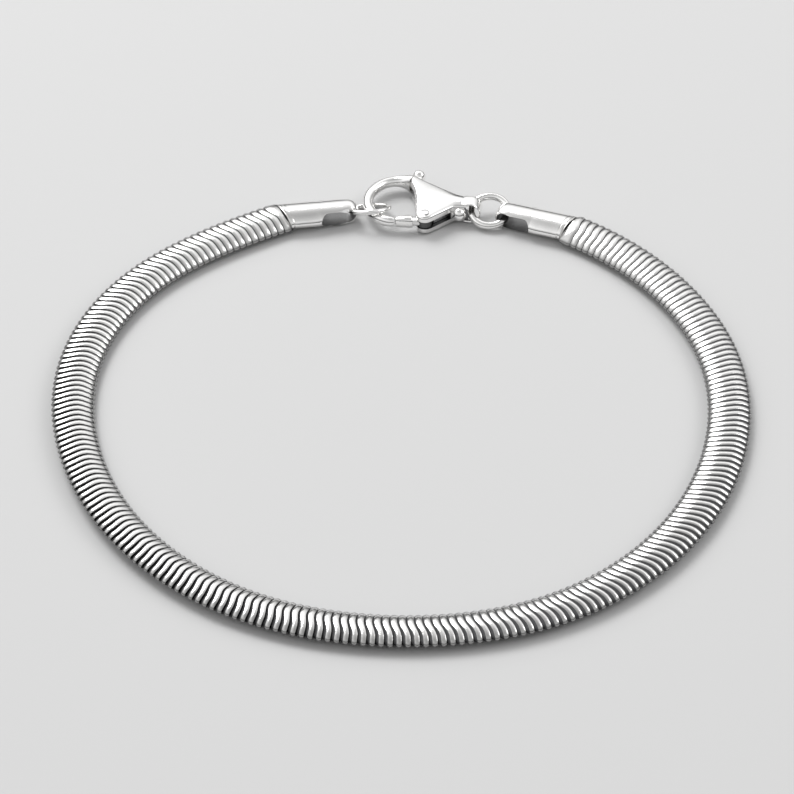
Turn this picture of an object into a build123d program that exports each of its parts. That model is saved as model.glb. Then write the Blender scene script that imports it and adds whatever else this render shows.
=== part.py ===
from build123d import *
from math import asin, atan2, cos, degrees, radians, sin, sqrt, tan
import os

os.makedirs("parts", exist_ok=True)

# A flat snake chain bracelet, closed, lying broad face up on a surface at z = 0.
# Y runs towards the clasp, X to the right, Z up. All sizes are in millimetres.

# The chain's centre line in plan, from near the hook-side cap round the front to near the other cap
chain_route = [
    (-14.73, 25.73),
    (-24.88, 16.88),
    (-29.88, 4.48),
    (-28.98, -8.97),
    (-23.18, -21.12),
    (-12.93, -29.77),
    (0.17, -32.82),
    (13.27, -30.02),
    (23.47, -21.37),
    (29.12, -9.12),
    (29.82, 4.33),
    (25.07, 16.88),
    (20.32, 22.53),
]
# How the band leans, outer edge up in degrees, at shares of its length
band_lean = [(0.0, 9.0), (0.25, 7.0), (0.5, 0.0), (0.75, -3.0), (0.88, 2.0), (1.0, 9.0)]

# Chain links
band_width = 4.05
band_thickness = 1.65
link_pitch = 0.735
link_gap = 0.2
wave_rise = 0.51
wave_length = 1.52
wave_offset = 0.4
link_rim = 0.3
oval_end_share = 0.48
collar_clearance = 0.17
collar_reach = 0.19
socket_depth = 0.36

# End caps
cap_width = 3.5
cap_height = 2.1
cap_length = 7.45
cap_mouth_gap = 0.15
cap_tube_length = 3.4
cap_tip_width = 1.2
cap_tip_wall = 0.45
cap_tongue = 0.3
cap_eye_start = 3.6
cap_collar_reach = 0.6
cap_turn_hook_side = 8.0
cap_turn_ring_side = 160.0

# Catch ring, in the hook-side cap's eye and round the clasp's hook
catch_ring_wire = 0.5
catch_ring_size = 4.4
catch_ring_tilt = 26.0

# Jump ring, in the clasp's tail eye and the ring-side cap's eye
jump_ring_wire = 0.76
jump_ring_size = 4.3
jump_ring_tilt = 18.0
jump_ring_turn = -8.5
jump_ring_height = 1.08
jump_ring_shift = 0.1

# Play between a ring and what holds it, and between a ring and the surface
ring_play = 0.24
floor_play = 0.01

# Clasp: plan points are measured from its tail eye, with the hook towards -X
tail_eye_place = (6.77, 28.78)
clasp_turn = -9.0
clasp_thickness = 2.2
cheek_thickness = 0.7
cheek_edge_round = 0.3
hook_wire = 0.98
hook_end_radius = 2.5
hook_side_radius = 3.8
hook_middle = (-7.3, 0.15)
hook_half_spread = 0.85
hook_root_turn = 48.0
hook_waist_turn = 78.0
hook_neck_turn = 105.0
hook_tip_turn = 276.0
hook_root_width = 1.4
hook_waist_width = 1.3
hook_root_thickness = 2.1
hook_waist_thickness = 1.5
hook_rest_turn = 206.0
tail_eye_radius = 0.85
tail_eye_width = 1.3
tail_neck = (-1.5, 1.05)
rear_ball_place = (-0.98, -0.72)
rear_ball_radius = 0.62
shoulder = (-5.2, 3.0)
crook_outer = (-6.35, 3.75)
crook_inner = (-6.3, 2.5)
throat_top = (-5.7, 1.2)
pivot_place = (-4.1, -2.65)
pivot_boss_radius = 0.85
slot_depth = 1.0
slot_rear_wall = 0.35
shoulder_round = 2.2
neck_round = 0.9
throat_round = 1.2

# Lever and its pin
lever_side_play = 0.07
lever_range = 18.0
hub_radius = 0.72
pin_radius = 0.4
pin_running_gap = 0.04
pin_seat_gap = 0.01
pin_recess = 0.04
gate_thickness = 1.1
gate_neck = 1.3
gate_root_width = 1.0
gate_tip_width = 0.6
gate_tip_gap = 0.1
arm_width = 0.62
arm_turn = 103.0
arm_length = 7.45
arm_play = 0.1
tab_size = 1.3
tab_thickness = 1.3
tab_edge_round = 0.3

# Spring leaf in the slot
spring_thickness = 0.16
spring_play = 0.1

# Worked out from the sizes above
half_band = band_width / 2
half_thick = band_thickness / 2
socket_half_width = half_band - link_rim
socket_half_thick = half_thick - link_rim
collar_half_width = socket_half_width - collar_clearance
collar_half_thick = socket_half_thick - collar_clearance
slot_height = clasp_thickness - 2 * cheek_thickness
lever_thickness = slot_height - 2 * lever_side_play
clasp_middle = clasp_thickness / 2
cap_middle = cap_height / 2
catch_ring_radius = (catch_ring_size - catch_ring_wire) / 2
catch_ring_height = catch_ring_radius * sin(radians(catch_ring_tilt)) + catch_ring_wire / 2 + floor_play
jump_ring_radius = (jump_ring_size - jump_ring_wire) / 2


def step(point, turn, distance):
    """The plan point that lies a distance from another, in a direction given in degrees."""
    return (point[0] + distance * cos(radians(turn)), point[1] + distance * sin(radians(turn)))


def on_clasp(point):
    """A plan point of the clasp's own drawing, in the bracelet's plan."""
    return step(step(tail_eye_place, clasp_turn, point[0]), clasp_turn + 90, point[1])


# The hook's centre line: a side arc between two tighter end arcs, one to the root and one to the tip
hook_arc_drop = hook_side_radius - hook_end_radius
hook_side_reach = sqrt(hook_arc_drop**2 - hook_half_spread**2)
hook_side_centre = (hook_middle[0] + hook_side_reach, hook_middle[1])
hook_top_centre = (hook_middle[0], hook_middle[1] + hook_half_spread)
hook_low_centre = (hook_middle[0], hook_middle[1] - hook_half_spread)
hook_join = degrees(atan2(hook_half_spread, hook_side_reach))

# Where the rings lie, worked from the clasp out to the caps' mouths
catch_ring_centre = on_clasp(step(hook_side_centre, hook_rest_turn, hook_side_radius))
jump_ring_centre = step(tail_eye_place, jump_ring_turn, jump_ring_radius + jump_ring_shift)
eye_end = cap_length - cap_tip_wall
hook_cap_seat = step(catch_ring_centre, cap_turn_hook_side + 180, catch_ring_radius)
hook_cap_place = step(hook_cap_seat, cap_turn_hook_side + 180, eye_end - catch_ring_wire / 2 - ring_play)
ring_cap_seat = step(jump_ring_centre, cap_turn_ring_side + 180, jump_ring_radius)
ring_cap_place = step(ring_cap_seat, cap_turn_ring_side + 180, eye_end - jump_ring_wire / 2 - ring_play)

# The whole route, and the number of links that fill it
with BuildLine():
    chain_line = Spline(hook_cap_place, *chain_route, ring_cap_place)
chain_length = chain_line.length
end_margin = cap_mouth_gap + wave_rise / 2
link_count = round((chain_length - 2 * end_margin + link_gap) / link_pitch)
true_pitch = (chain_length - 2 * end_margin + link_gap) / link_count
link_length = true_pitch - link_gap
collar_end = link_length / 2 + link_gap + collar_reach
straight_end = link_length / 2 + wave_rise / 2
cap_collar_end = straight_end + cap_mouth_gap + cap_collar_reach


def edge_corners(place, straight):
    """Corner points of a link's edge in plan, from the band's outer side to its inner side."""
    side = half_band + wave_rise
    if straight:
        return [(place, -side), (place, side)]
    ahead = place + wave_rise / 2
    behind = place - wave_rise / 2
    bend_start = -wave_offset - wave_length / 2
    bend_end = -wave_offset + wave_length / 2
    return [(ahead, -side), (ahead, bend_start), (behind, bend_end), (behind, side)]


def draw_oval(half_width, half_height):
    """Draw the band's oval with two broad arcs and two tight ones that run into each other."""
    tight = half_height * oval_end_share
    reach = half_width - tight
    broad = (reach**2 + half_height**2 - tight**2) / (2 * (half_height - tight))
    join_x = reach + tight * reach / (broad - tight)
    join_y = tight * (broad - half_height) / (broad - tight)
    ThreePointArc((-join_x, join_y), (0, half_height), (join_x, join_y))
    ThreePointArc((join_x, join_y), (half_width, 0), (join_x, -join_y))
    ThreePointArc((join_x, -join_y), (0, -half_height), (-join_x, -join_y))
    ThreePointArc((-join_x, -join_y), (-half_width, 0), (-join_x, join_y))


def wavy_oval(half_width, half_height, rear, front, rear_straight=False, front_straight=False):
    """An oval bar along X, cut at its rear and its front by two link edges."""
    rear_corners = edge_corners(rear, rear_straight)
    front_corners = edge_corners(front, front_straight)
    with BuildPart() as bar:
        with BuildSketch(Plane.YZ):
            with BuildLine():
                draw_oval(half_width, half_height)
            make_face()
        extrude(amount=abs(rear) + abs(front) + wave_rise, both=True)
        with BuildSketch():
            with BuildLine():
                Polyline(*rear_corners, *reversed(front_corners), rear_corners[0])
            make_face()
        extrude(amount=2 * half_height, both=True, mode=Mode.INTERSECT)
    return bar.part


collar = wavy_oval(collar_half_width, collar_half_thick, -collar_end, 0)
socket = wavy_oval(socket_half_width, socket_half_thick, link_length / 2 - socket_depth, link_length)

# One link: an oval body with an S-shaped front and rear, a collar behind and a socket in front
with BuildPart() as link:
    add(wavy_oval(half_band, half_thick, -link_length / 2, link_length / 2))
    add(collar)
    add(socket, mode=Mode.SUBTRACT)

# The first link is straight where it meets the hook-side cap
with BuildPart() as first_link:
    add(wavy_oval(half_band, half_thick, -straight_end, link_length / 2, rear_straight=True))
    add(wavy_oval(collar_half_width, collar_half_thick, -cap_collar_end, -straight_end, True, True))
    add(socket, mode=Mode.SUBTRACT)

# The last link is straight where it meets the ring-side cap, with a collar there too
with BuildPart() as last_link:
    add(wavy_oval(half_band, half_thick, -link_length / 2, straight_end, front_straight=True))
    add(wavy_oval(collar_half_width, collar_half_thick, straight_end, cap_collar_end, True, True))
    add(collar)


def lean_at(share):
    """The band's lean at a share of its length, eased between the chosen places."""
    for (share_a, lean_a), (share_b, lean_b) in zip(band_lean, band_lean[1:]):
        if share <= share_b:
            ease = (1 - cos(radians(180 * (share - share_a) / (share_b - share_a)))) / 2
            return lean_a + (lean_b - lean_a) * ease
    return band_lean[-1][1]


def chain_turn_at(share):
    """The chain's plan direction at a share of its length, in degrees."""
    along = chain_line.tangent_at(share)
    return degrees(atan2(along.Y, along.X))


def band_plane(share):
    """The plane that a link sits in: X along the chain, Y to the loop's inside, resting on z = 0."""
    spot = chain_line.position_at(share)
    along = chain_line.tangent_at(share)
    lean = radians(lean_at(share))
    height = sqrt((half_band * sin(lean)) ** 2 + (half_thick * cos(lean)) ** 2)
    inward = Vector(-along.Y, along.X, 0)
    upward = Vector(0, 0, cos(lean)) + inward * sin(lean)
    return Plane(origin=(spot.X, spot.Y, height), x_dir=along, z_dir=upward)


# The chain: every link placed along the route
links = []
for number in range(link_count):
    share = (end_margin + link_length / 2 + number * true_pitch) / chain_length
    shape = link.part
    if number == 0:
        shape = first_link.part
    if number == link_count - 1:
        shape = last_link.part
    links.append(shape.moved(band_plane(share).location))
snake_chain = Compound(links)
snake_chain.label = "snake_chain"
export_step(snake_chain, "parts/snake_chain.step")


def end_cap(cap_turn, chain_turn, mouth_height, mouth_lean):
    """An end cap along +X from its mouth to its tip, its mouth and socket turned to face the chain."""
    mouth_turn = (chain_turn - cap_turn + 180) % 360 - 180
    half_width = cap_width / 2
    tip_radius = cap_tip_width / 2
    nose = (cap_length - tip_radius, 0)
    taper = Vector(nose[0] - cap_tube_length, half_width)
    taper_turn = degrees(atan2(taper.Y, taper.X) - asin(tip_radius / taper.length))
    nose_side = step(nose, 90 - taper_turn, tip_radius)
    rear = -cap_width * tan(radians(abs(mouth_turn)))
    eye_height = cap_height - 2 * cap_tongue
    into_cap = Vector(*step((0, 0), mouth_turn, 1))
    across = Vector(*step((0, 0), mouth_turn + 90, 1)).rotate(Axis((0, 0, 0), into_cap), mouth_lean)
    with BuildPart() as cap:
        with BuildSketch():
            with BuildLine():
                Polyline(nose_side, (cap_tube_length, half_width), (rear, half_width),
                         (rear, -half_width), (cap_tube_length, -half_width), (nose_side[0], -nose_side[1]))
                ThreePointArc(nose_side, (cap_length, 0), (nose_side[0], -nose_side[1]))
            make_face()
        extrude(amount=cap_height)
        with BuildSketch(Plane((0, 0, cap_middle), x_dir=(0, 1, 0), z_dir=(1, 0, 0))):
            with BuildLine():
                draw_oval(half_width, cap_middle)
            make_face()
        extrude(amount=2 * cap_length, both=True, mode=Mode.INTERSECT)
        with BuildSketch(Plane.XZ):
            with Locations(((cap_eye_start + eye_end) / 2, cap_middle)):
                Rectangle(eye_end - cap_eye_start, eye_height)
        extrude(amount=cap_width, both=True, mode=Mode.SUBTRACT)
        split(bisect_by=Plane((0, 0, 0), z_dir=into_cap), keep=Keep.TOP)
        with BuildSketch(Plane((0, 0, mouth_height), x_dir=across, z_dir=into_cap)):
            with BuildLine():
                draw_oval(socket_half_width, socket_half_thick)
            make_face()
        extrude(amount=cap_collar_reach + 2 * collar_clearance, mode=Mode.SUBTRACT)
    return cap.part


with BuildPart() as end_cap_hook_side:
    with Locations(Location((*hook_cap_place, 0), (0, 0, cap_turn_hook_side))):
        add(end_cap(cap_turn_hook_side, chain_turn_at(0) + 180, band_plane(0).origin.Z, lean_at(0)))
end_cap_hook_side.part.label = "end_cap_hook_side"
export_step(end_cap_hook_side.part, "parts/end_cap_hook_side.step")

with BuildPart() as end_cap_ring_side:
    with Locations(Location((*ring_cap_place, 0), (0, 0, cap_turn_ring_side))):
        add(end_cap(cap_turn_ring_side, chain_turn_at(1), band_plane(1).origin.Z, -lean_at(1)))
end_cap_ring_side.part.label = "end_cap_ring_side"
export_step(end_cap_ring_side.part, "parts/end_cap_ring_side.step")


def ring_plane(centre, height, turn, tilt):
    """The plane of a ring that is tilted about the plan direction in which it is pulled."""
    pulled = Vector(*step((0, 0), turn, 1))
    upright = Vector(0, 0, 1).rotate(Axis((0, 0, 0), pulled), tilt)
    return Plane(origin=(*centre, height), x_dir=pulled, z_dir=upright)


# Catch ring: its near side passes over the hook's wire and its far side under it
catch_plane = ring_plane(catch_ring_centre, catch_ring_height, cap_turn_hook_side, -catch_ring_tilt)
with BuildPart() as catch_ring:
    with Locations(catch_plane):
        Torus(catch_ring_radius, catch_ring_wire / 2)
catch_ring.part.label = "catch_ring"
export_step(catch_ring.part, "parts/catch_ring.step")

# Jump ring: its near side lies low and its far side stands up
jump_plane = ring_plane(jump_ring_centre, jump_ring_height, jump_ring_turn, jump_ring_tilt)
with BuildPart() as jump_ring:
    with Locations(jump_plane):
        Torus(jump_ring_radius, jump_ring_wire / 2)
jump_ring.part.label = "jump_ring"
export_step(jump_ring.part, "parts/jump_ring.step")


def hook_plane(centre, radius, turn):
    """The plane across the hook's wire at a turn of one of its arcs."""
    place = step(centre, turn, radius)
    return Plane((*place, clasp_middle), x_dir=step((0, 0), turn, 1), z_dir=step((0, 0), turn + 90, 1))


def swept_area(first_turn, last_turn, half_width, length):
    """Plan outline of what a straight bar about the pivot sweeps between two turns, first one higher."""
    near_first = step(pivot_place, first_turn + 90, half_width)
    near_last = step(pivot_place, last_turn - 90, half_width)
    return [pivot_place, near_first, step(near_first, first_turn, length),
            step(near_last, last_turn, length), near_last, pivot_place]


# The body's lower edge runs from the round pivot end to the neck of the tail
lower_neck = (tail_neck[0], -tail_neck[1])
neck_line = Vector(*lower_neck) - Vector(*pivot_place)
lower_turn = degrees(atan2(neck_line.Y, neck_line.X) + asin(pivot_boss_radius / neck_line.length))
lower_length = sqrt(neck_line.length**2 - pivot_boss_radius**2)
lower_start = step(pivot_place, lower_turn - 90, pivot_boss_radius)
boss_middle_turn = (180 + lower_turn + 270) / 2
slot_length = lower_length - slot_rear_wall
clasp_place = Location((*tail_eye_place, 0), (0, 0, clasp_turn))

# The lever's gate ends just short of the hook's tip, its end parallel to the tip's
gate_end = step(step(hook_low_centre, hook_tip_turn, hook_end_radius), hook_tip_turn + 90, gate_tip_gap)
gate_line = Vector(*gate_end) - Vector(*pivot_place)
gate_length = gate_line.length
gate_turn = degrees(atan2(gate_line.Y, gate_line.X)) + 360
gate_outline = [
    step(pivot_place, gate_turn + 90, gate_root_width / 2),
    step(gate_end, hook_tip_turn, gate_tip_width / 2),
    step(gate_end, hook_tip_turn, -gate_tip_width / 2),
    step(pivot_place, gate_turn - 90, gate_root_width / 2),
]

# Clasp body: hook, cheeks and tail in one solid
with BuildPart() as clasp_shape:
    with BuildSketch() as clasp_outline:
        with BuildLine():
            boss_start = step(pivot_place, 180, pivot_boss_radius)
            Polyline((0, tail_eye_width / 2), tail_neck, shoulder, crook_outer, crook_inner, throat_top,
                     boss_start)
            ThreePointArc(boss_start, step(pivot_place, boss_middle_turn, pivot_boss_radius), lower_start)
            Polyline(lower_start, lower_neck, (0, -tail_eye_width / 2), (0, tail_eye_width / 2))
        make_face()
        for corner, corner_round in ((tail_neck, neck_round), (lower_neck, neck_round),
                                     (shoulder, shoulder_round), (throat_top, throat_round)):
            fillet(clasp_outline.vertices().sort_by_distance((*corner, 0))[0], corner_round)
    extrude(amount=clasp_thickness)
    rims = clasp_shape.faces().filter_by(Axis.Z).edges()
    fillet(rims.filter_by(lambda edge: edge.center().X < -0.01), cheek_edge_round)
    with BuildSketch(Plane.XZ):
        with Locations((0, clasp_middle)):
            Circle(clasp_middle)
    extrude(amount=tail_eye_width / 2, both=True)
    with BuildSketch(hook_plane(hook_top_centre, hook_end_radius, hook_root_turn)):
        Ellipse(hook_root_width / 2, hook_root_thickness / 2)
    with BuildSketch(hook_plane(hook_top_centre, hook_end_radius, hook_waist_turn)):
        Ellipse(hook_waist_width / 2, hook_waist_thickness / 2)
    with BuildSketch(hook_plane(hook_top_centre, hook_end_radius, hook_neck_turn)):
        Circle(hook_wire / 2)
    loft()
    with BuildLine(Plane.XY.offset(clasp_middle)):
        CenterArc(hook_top_centre, hook_end_radius, hook_neck_turn, 180 - hook_join - hook_neck_turn)
        CenterArc(hook_side_centre, hook_side_radius, 180 - hook_join, 2 * hook_join)
        CenterArc(hook_low_centre, hook_end_radius, 180 + hook_join, hook_tip_turn - 180 - hook_join)
    with BuildSketch(hook_plane(hook_top_centre, hook_end_radius, hook_neck_turn)):
        Circle(hook_wire / 2)
    sweep()
    # The slot between the cheeks, where the lever and its spring lie
    with BuildSketch(Plane.XY.offset(cheek_thickness)):
        with BuildLine():
            Polyline(*swept_area(arm_turn, arm_turn - lever_range, arm_width / 2 + arm_play,
                                 arm_length + tab_size))
        make_face()
        with BuildLine():
            Polyline(*swept_area(gate_turn, gate_turn - lever_range, gate_root_width / 2 + arm_play,
                                 gate_length))
        make_face()
        with BuildLine():
            slot_corner = step(lower_start, lower_turn, slot_length)
            Polyline(pivot_place, step(lower_start, lower_turn - 90, slot_depth),
                     step(slot_corner, lower_turn - 90, slot_depth),
                     step(slot_corner, lower_turn + 90, slot_depth),
                     step(lower_start, lower_turn + 90, slot_depth), pivot_place)
        make_face()
        with Locations(pivot_place):
            Circle(pivot_boss_radius + arm_play)
    extrude(amount=slot_height, mode=Mode.SUBTRACT)
    # Room for the tab beside the hook's root
    with BuildSketch(Plane.XY.offset((clasp_thickness - tab_thickness) / 2 - lever_side_play)):
        with Locations(step(pivot_place, arm_turn, arm_length)):
            Circle(tab_size / 2 + lever_side_play)
    extrude(amount=tab_thickness + 2 * lever_side_play, mode=Mode.SUBTRACT)
    with Locations((*pivot_place, clasp_middle)):
        Cylinder(pin_radius + pin_seat_gap, clasp_thickness, mode=Mode.SUBTRACT)
    with BuildSketch(Plane.XZ):
        with Locations((0, clasp_middle)):
            Circle(tail_eye_radius)
    extrude(amount=tail_eye_width, both=True, mode=Mode.SUBTRACT)
    with Locations((*rear_ball_place, clasp_middle)):
        Sphere(rear_ball_radius)
with BuildPart() as clasp_body:
    with Locations(clasp_place):
        add(clasp_shape.part)
clasp_body.part.label = "clasp_body"
export_step(clasp_body.part, "parts/clasp_body.step")

# Pivot pin, its ends just below the cheeks
with BuildPart() as clasp_pin:
    with Locations((*on_clasp(pivot_place), clasp_middle)):
        Cylinder(pin_radius, clasp_thickness - 2 * pin_recess)
clasp_pin.part.label = "clasp_pin"
export_step(clasp_pin.part, "parts/clasp_pin.step")

# Lever: a hub on the pin, a gate to the hook's tip and an arm to the thumb tab
with BuildPart() as lever_shape:
    with BuildSketch():
        with Locations(pivot_place):
            Circle(hub_radius)
        with BuildLine():
            Polyline(*swept_area(arm_turn, arm_turn, arm_width / 2, arm_length))
        make_face()
        with BuildLine():
            Polyline(*gate_outline, close=True)
        make_face()
    extrude(amount=lever_thickness / 2, both=True)
    with BuildSketch():
        with BuildLine():
            Polyline(*gate_outline, close=True)
        make_face()
        with Locations(pivot_place):
            Circle(gate_neck, mode=Mode.SUBTRACT)
    extrude(amount=gate_thickness / 2, both=True)
    with Locations((*step(pivot_place, arm_turn, arm_length), 0)):
        Cylinder(tab_size / 2, tab_thickness)
    tab_rims = lever_shape.edges().filter_by(GeomType.CIRCLE).group_by(Axis.Z)
    fillet(tab_rims[0] + tab_rims[-1], tab_edge_round)
    with Locations((*pivot_place, 0)):
        Cylinder(pin_radius + pin_running_gap, clasp_thickness, mode=Mode.SUBTRACT)
with BuildPart() as clasp_lever:
    with Locations(clasp_place * Location((0, 0, clasp_middle))):
        add(lever_shape.part)
clasp_lever.part.label = "clasp_lever"
export_step(clasp_lever.part, "parts/clasp_lever.step")

# Spring leaf along the slot, from near the lever's hub to the slot's end
leaf_depth = slot_depth / 2
leaf_start = sqrt((hub_radius + spring_play) ** 2 - (pivot_boss_radius - leaf_depth - spring_thickness / 2) ** 2)
leaf_length = slot_length - spring_play / 2 - leaf_start
with BuildPart() as clasp_spring:
    with Locations(clasp_place * Location((*lower_start, clasp_middle), (0, 0, lower_turn))):
        with Locations((leaf_start + leaf_length / 2, leaf_depth, 0)):
            Box(leaf_length, spring_thickness, lever_thickness)
clasp_spring.part.label = "clasp_spring"
export_step(clasp_spring.part, "parts/clasp_spring.step")
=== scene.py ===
import math

import bpy
import numpy as np
from bpy.props import FloatProperty, FloatVectorProperty, PointerProperty
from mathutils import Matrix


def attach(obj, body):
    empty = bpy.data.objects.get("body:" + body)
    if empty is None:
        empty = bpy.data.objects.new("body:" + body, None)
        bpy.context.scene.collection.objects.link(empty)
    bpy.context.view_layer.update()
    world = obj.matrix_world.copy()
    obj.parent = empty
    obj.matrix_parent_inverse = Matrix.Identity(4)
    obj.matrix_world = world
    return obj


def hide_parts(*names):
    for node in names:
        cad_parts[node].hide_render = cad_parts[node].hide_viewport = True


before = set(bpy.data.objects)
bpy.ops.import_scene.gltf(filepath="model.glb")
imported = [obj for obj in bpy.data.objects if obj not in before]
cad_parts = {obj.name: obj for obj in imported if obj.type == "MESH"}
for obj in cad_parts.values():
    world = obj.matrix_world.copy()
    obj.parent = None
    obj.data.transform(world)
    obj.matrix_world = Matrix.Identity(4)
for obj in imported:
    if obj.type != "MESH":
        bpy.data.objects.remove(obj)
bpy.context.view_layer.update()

bl_info = {
    "name": "Snake chain bracelet",
    "version": (1, 0, 0),
    "blender": (4, 5, 0),
    "location": "3D View > Sidebar > Bracelet",
    "description": "Builds the looks of a silver snake chain bracelet around its CAD parts",
    "category": "Add Mesh",
}

MM = 0.001

# The chain's centre line in plan, in millimetres, from the hook-side cap's mouth round the front
# to the ring-side cap's mouth. The caps' mouths come first and last.
ROUTE = np.array([
    (-11.4568, 27.6278),
    (-14.73, 25.73),
    (-24.88, 16.88),
    (-29.88, 4.48),
    (-28.98, -8.97),
    (-23.18, -21.12),
    (-12.93, -29.77),
    (0.17, -32.82),
    (13.27, -30.02),
    (23.47, -21.37),
    (29.12, -9.12),
    (29.82, 4.33),
    (25.07, 16.88),
    (20.32, 22.53),
    (16.2780, 25.7161),
])
# How the band leans, outer edge up in degrees, at shares of its length
LEAN = np.array([(0.0, 9.0), (0.25, 7.0), (0.5, 0.0), (0.75, -3.0), (0.88, 2.0), (1.0, 9.0)])

# The clasp's drawing, in millimetres: its tail eye's place in the bracelet's plan, then the lever's
# pivot and the hook's middle, measured from that eye with the hook towards -X
TAIL_EYE = (6.77, 28.78)
PIVOT = (-4.1, -2.65)
HOOK_MIDDLE = (-7.3, 0.15)

# Grains in a metre of the metals' hairlines, the strength of their relief, and how rough the metal is
# in the painted shade of the chain's gaps and the fittings' insides, and on the spring steel
CHAIN_GRAIN, FITTING_GRAIN = 9000, 6000
CHAIN_RELIEF, FITTING_RELIEF, PAINTED_SHADE_RELIEF = 0.25, 0.2, 0.3
GAP_ROUGHNESS, INSIDE_ROUGHNESS, STEEL_ROUGHNESS = 0.5, 0.4, 0.3

# The studio: greys at heights of the sky, the side where it is brighter, and the lights with their
# places and sizes in metres and their power in watts
SKY = ((0.0, 0.04), (0.14, 0.12), (0.34, 0.6), (0.65, 0.95), (0.88, 0.6), (1.0, 0.35))
BRIGHT_SIDE = (-0.5, 0.77, 0.4)
LIGHTS = (
    ("key", (-0.35, 0.55, 0.75), 0.5, 6.0),
    ("fill", (0.6, 0.1, 0.5), 0.4, 1.2),
    ("soft panel", (-0.13, 0.24, 0.21), 0.2, 0.15),
)
# The floor's half width and level, and what the camera looks at, in millimetres
FLOOR_REACH, FLOOR_LEVEL = 1500.0, -0.02
CAMERA_TARGET = (-0.38, -0.22, 0.825)


# Sizes and finishes that a user may change

def millimetres(name, description, default):
    """A size in millimetres"""
    return FloatProperty(name=name, description=description, default=default)


def angle(name, description, degrees):
    """An angle, chosen in degrees"""
    return FloatProperty(name=name, description=description, default=math.radians(degrees), subtype="ANGLE")


def share(name, description, default, most=1):
    """A share from nothing to the most"""
    return FloatProperty(name=name, description=description, default=default, min=0, max=most,
                         subtype="FACTOR")


def colour(name, description, default):
    """A colour as red, green and blue"""
    return FloatVectorProperty(name=name, description=description, default=default, size=3, min=0, max=1,
                               subtype="COLOR")


class ChainSizes(bpy.types.PropertyGroup):
    """The chain's sizes, in millimetres"""
    band_width: millimetres("Band width", "Width of the chain across its broad face", 4.05)
    band_thickness: millimetres("Band thickness", "Thickness of the chain", 1.65)
    link_pitch: millimetres("Link pitch", "Distance from one link to the next", 0.735)
    link_gap: millimetres("Link gap", "Gap between the outer shells of two links", 0.2)
    wave_rise: millimetres("Wave rise", "How far a link's edge shifts along the chain", 0.51)
    wave_length: millimetres("Wave length", "Width over which the edge shifts", 2.1)
    wave_offset: millimetres("Wave offset", "How far the shift's middle lies to the outer side", 0.4)
    crown: millimetres("Crown", "How far a link's edges drop below its middle", 0.1)
    rim_wear: millimetres("Rim wear", "How far a link's worn rims stand back", 0.018)
    oval_end_share: share(
        "Oval end share", "Radius of the oval's ends as a share of its half height", 0.48, 0.9)
    close_reach: millimetres("Close-up reach", "Length at each end in which the links close up", 40.0)
    close_share: share("Close-up", "Share of the gap that closes at the caps", 0.62, 0.9)
    gap_spread: millimetres(
        "Gap spread", "How much wider the gap is on the outer half than the inner half", 0.14)


class CapSizes(bpy.types.PropertyGroup):
    """The end caps' sizes, in millimetres"""
    width: millimetres("Width", "Width of a cap at its mouth", 3.5)
    height: millimetres("Height", "Height of a cap", 2.1)
    length: millimetres("Length", "Length of a cap from mouth to tip", 7.45)
    tube_length: millimetres("Tube length", "Length of the part that does not taper", 3.4)
    tip_width_hook_side: millimetres("Hook-side tip", "Width of the hook-side cap's tip", 1.1)
    tip_width_ring_side: millimetres("Ring-side tip", "Width of the ring-side cap's tip", 1.6)
    eye_start: millimetres("Eye start", "Where the eye starts, from the mouth", 3.6)
    eye_round: millimetres("Eye round", "Length over which the eye's end is rounded", 0.7)
    strap: millimetres("Strap", "Thickness of the strap round the eye", 0.3)
    mouth_groove: millimetres("Mouth groove", "Where the groove lies, from the mouth", 0.3)
    oval_end_share: share(
        "Oval end share", "Radius of the oval's ends as a share of its half height", 0.48, 0.9)
    turn_hook_side: angle("Hook-side turn", "Plan direction of the hook-side cap", 8)
    turn_ring_side: angle("Ring-side turn", "Plan direction of the ring-side cap", 160)


class ClaspSizes(bpy.types.PropertyGroup):
    """The clasp's sizes, in millimetres"""
    thickness: millimetres("Thickness", "Thickness of the clasp", 2.2)
    cheek: millimetres("Cheek", "Thickness of each cheek", 0.7)
    edge_round: millimetres("Edge round", "Width of a cheek's rounded edge", 0.4)
    lever: millimetres("Lever", "Thickness of the lever in its slot", 0.66)
    pin_radius: millimetres("Pin radius", "Radius of the lever's pin", 0.4)
    gate_turn: angle("Gate turn", "Direction of the gate from the pivot in the clasp's plan", 190.5)
    hook_wire: millimetres("Hook wire", "Thickness of the hook's wire", 1.04)
    hook_end_radius: millimetres("Hook end radius", "Radius of the hook's end arcs", 2.5)
    hook_side_radius: millimetres("Hook side radius", "Radius of the hook's side arc", 3.8)
    hook_half_spread: millimetres("Hook spread", "Half the distance between the end arcs' centres", 0.85)
    eye_radius: millimetres("Eye radius", "Radius of the tail's eye", 0.85)
    eye_width: millimetres("Eye width", "Width of the strap round the tail's eye", 1.6)
    turn: angle("Turn", "Plan direction of the clasp", -9)


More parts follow.
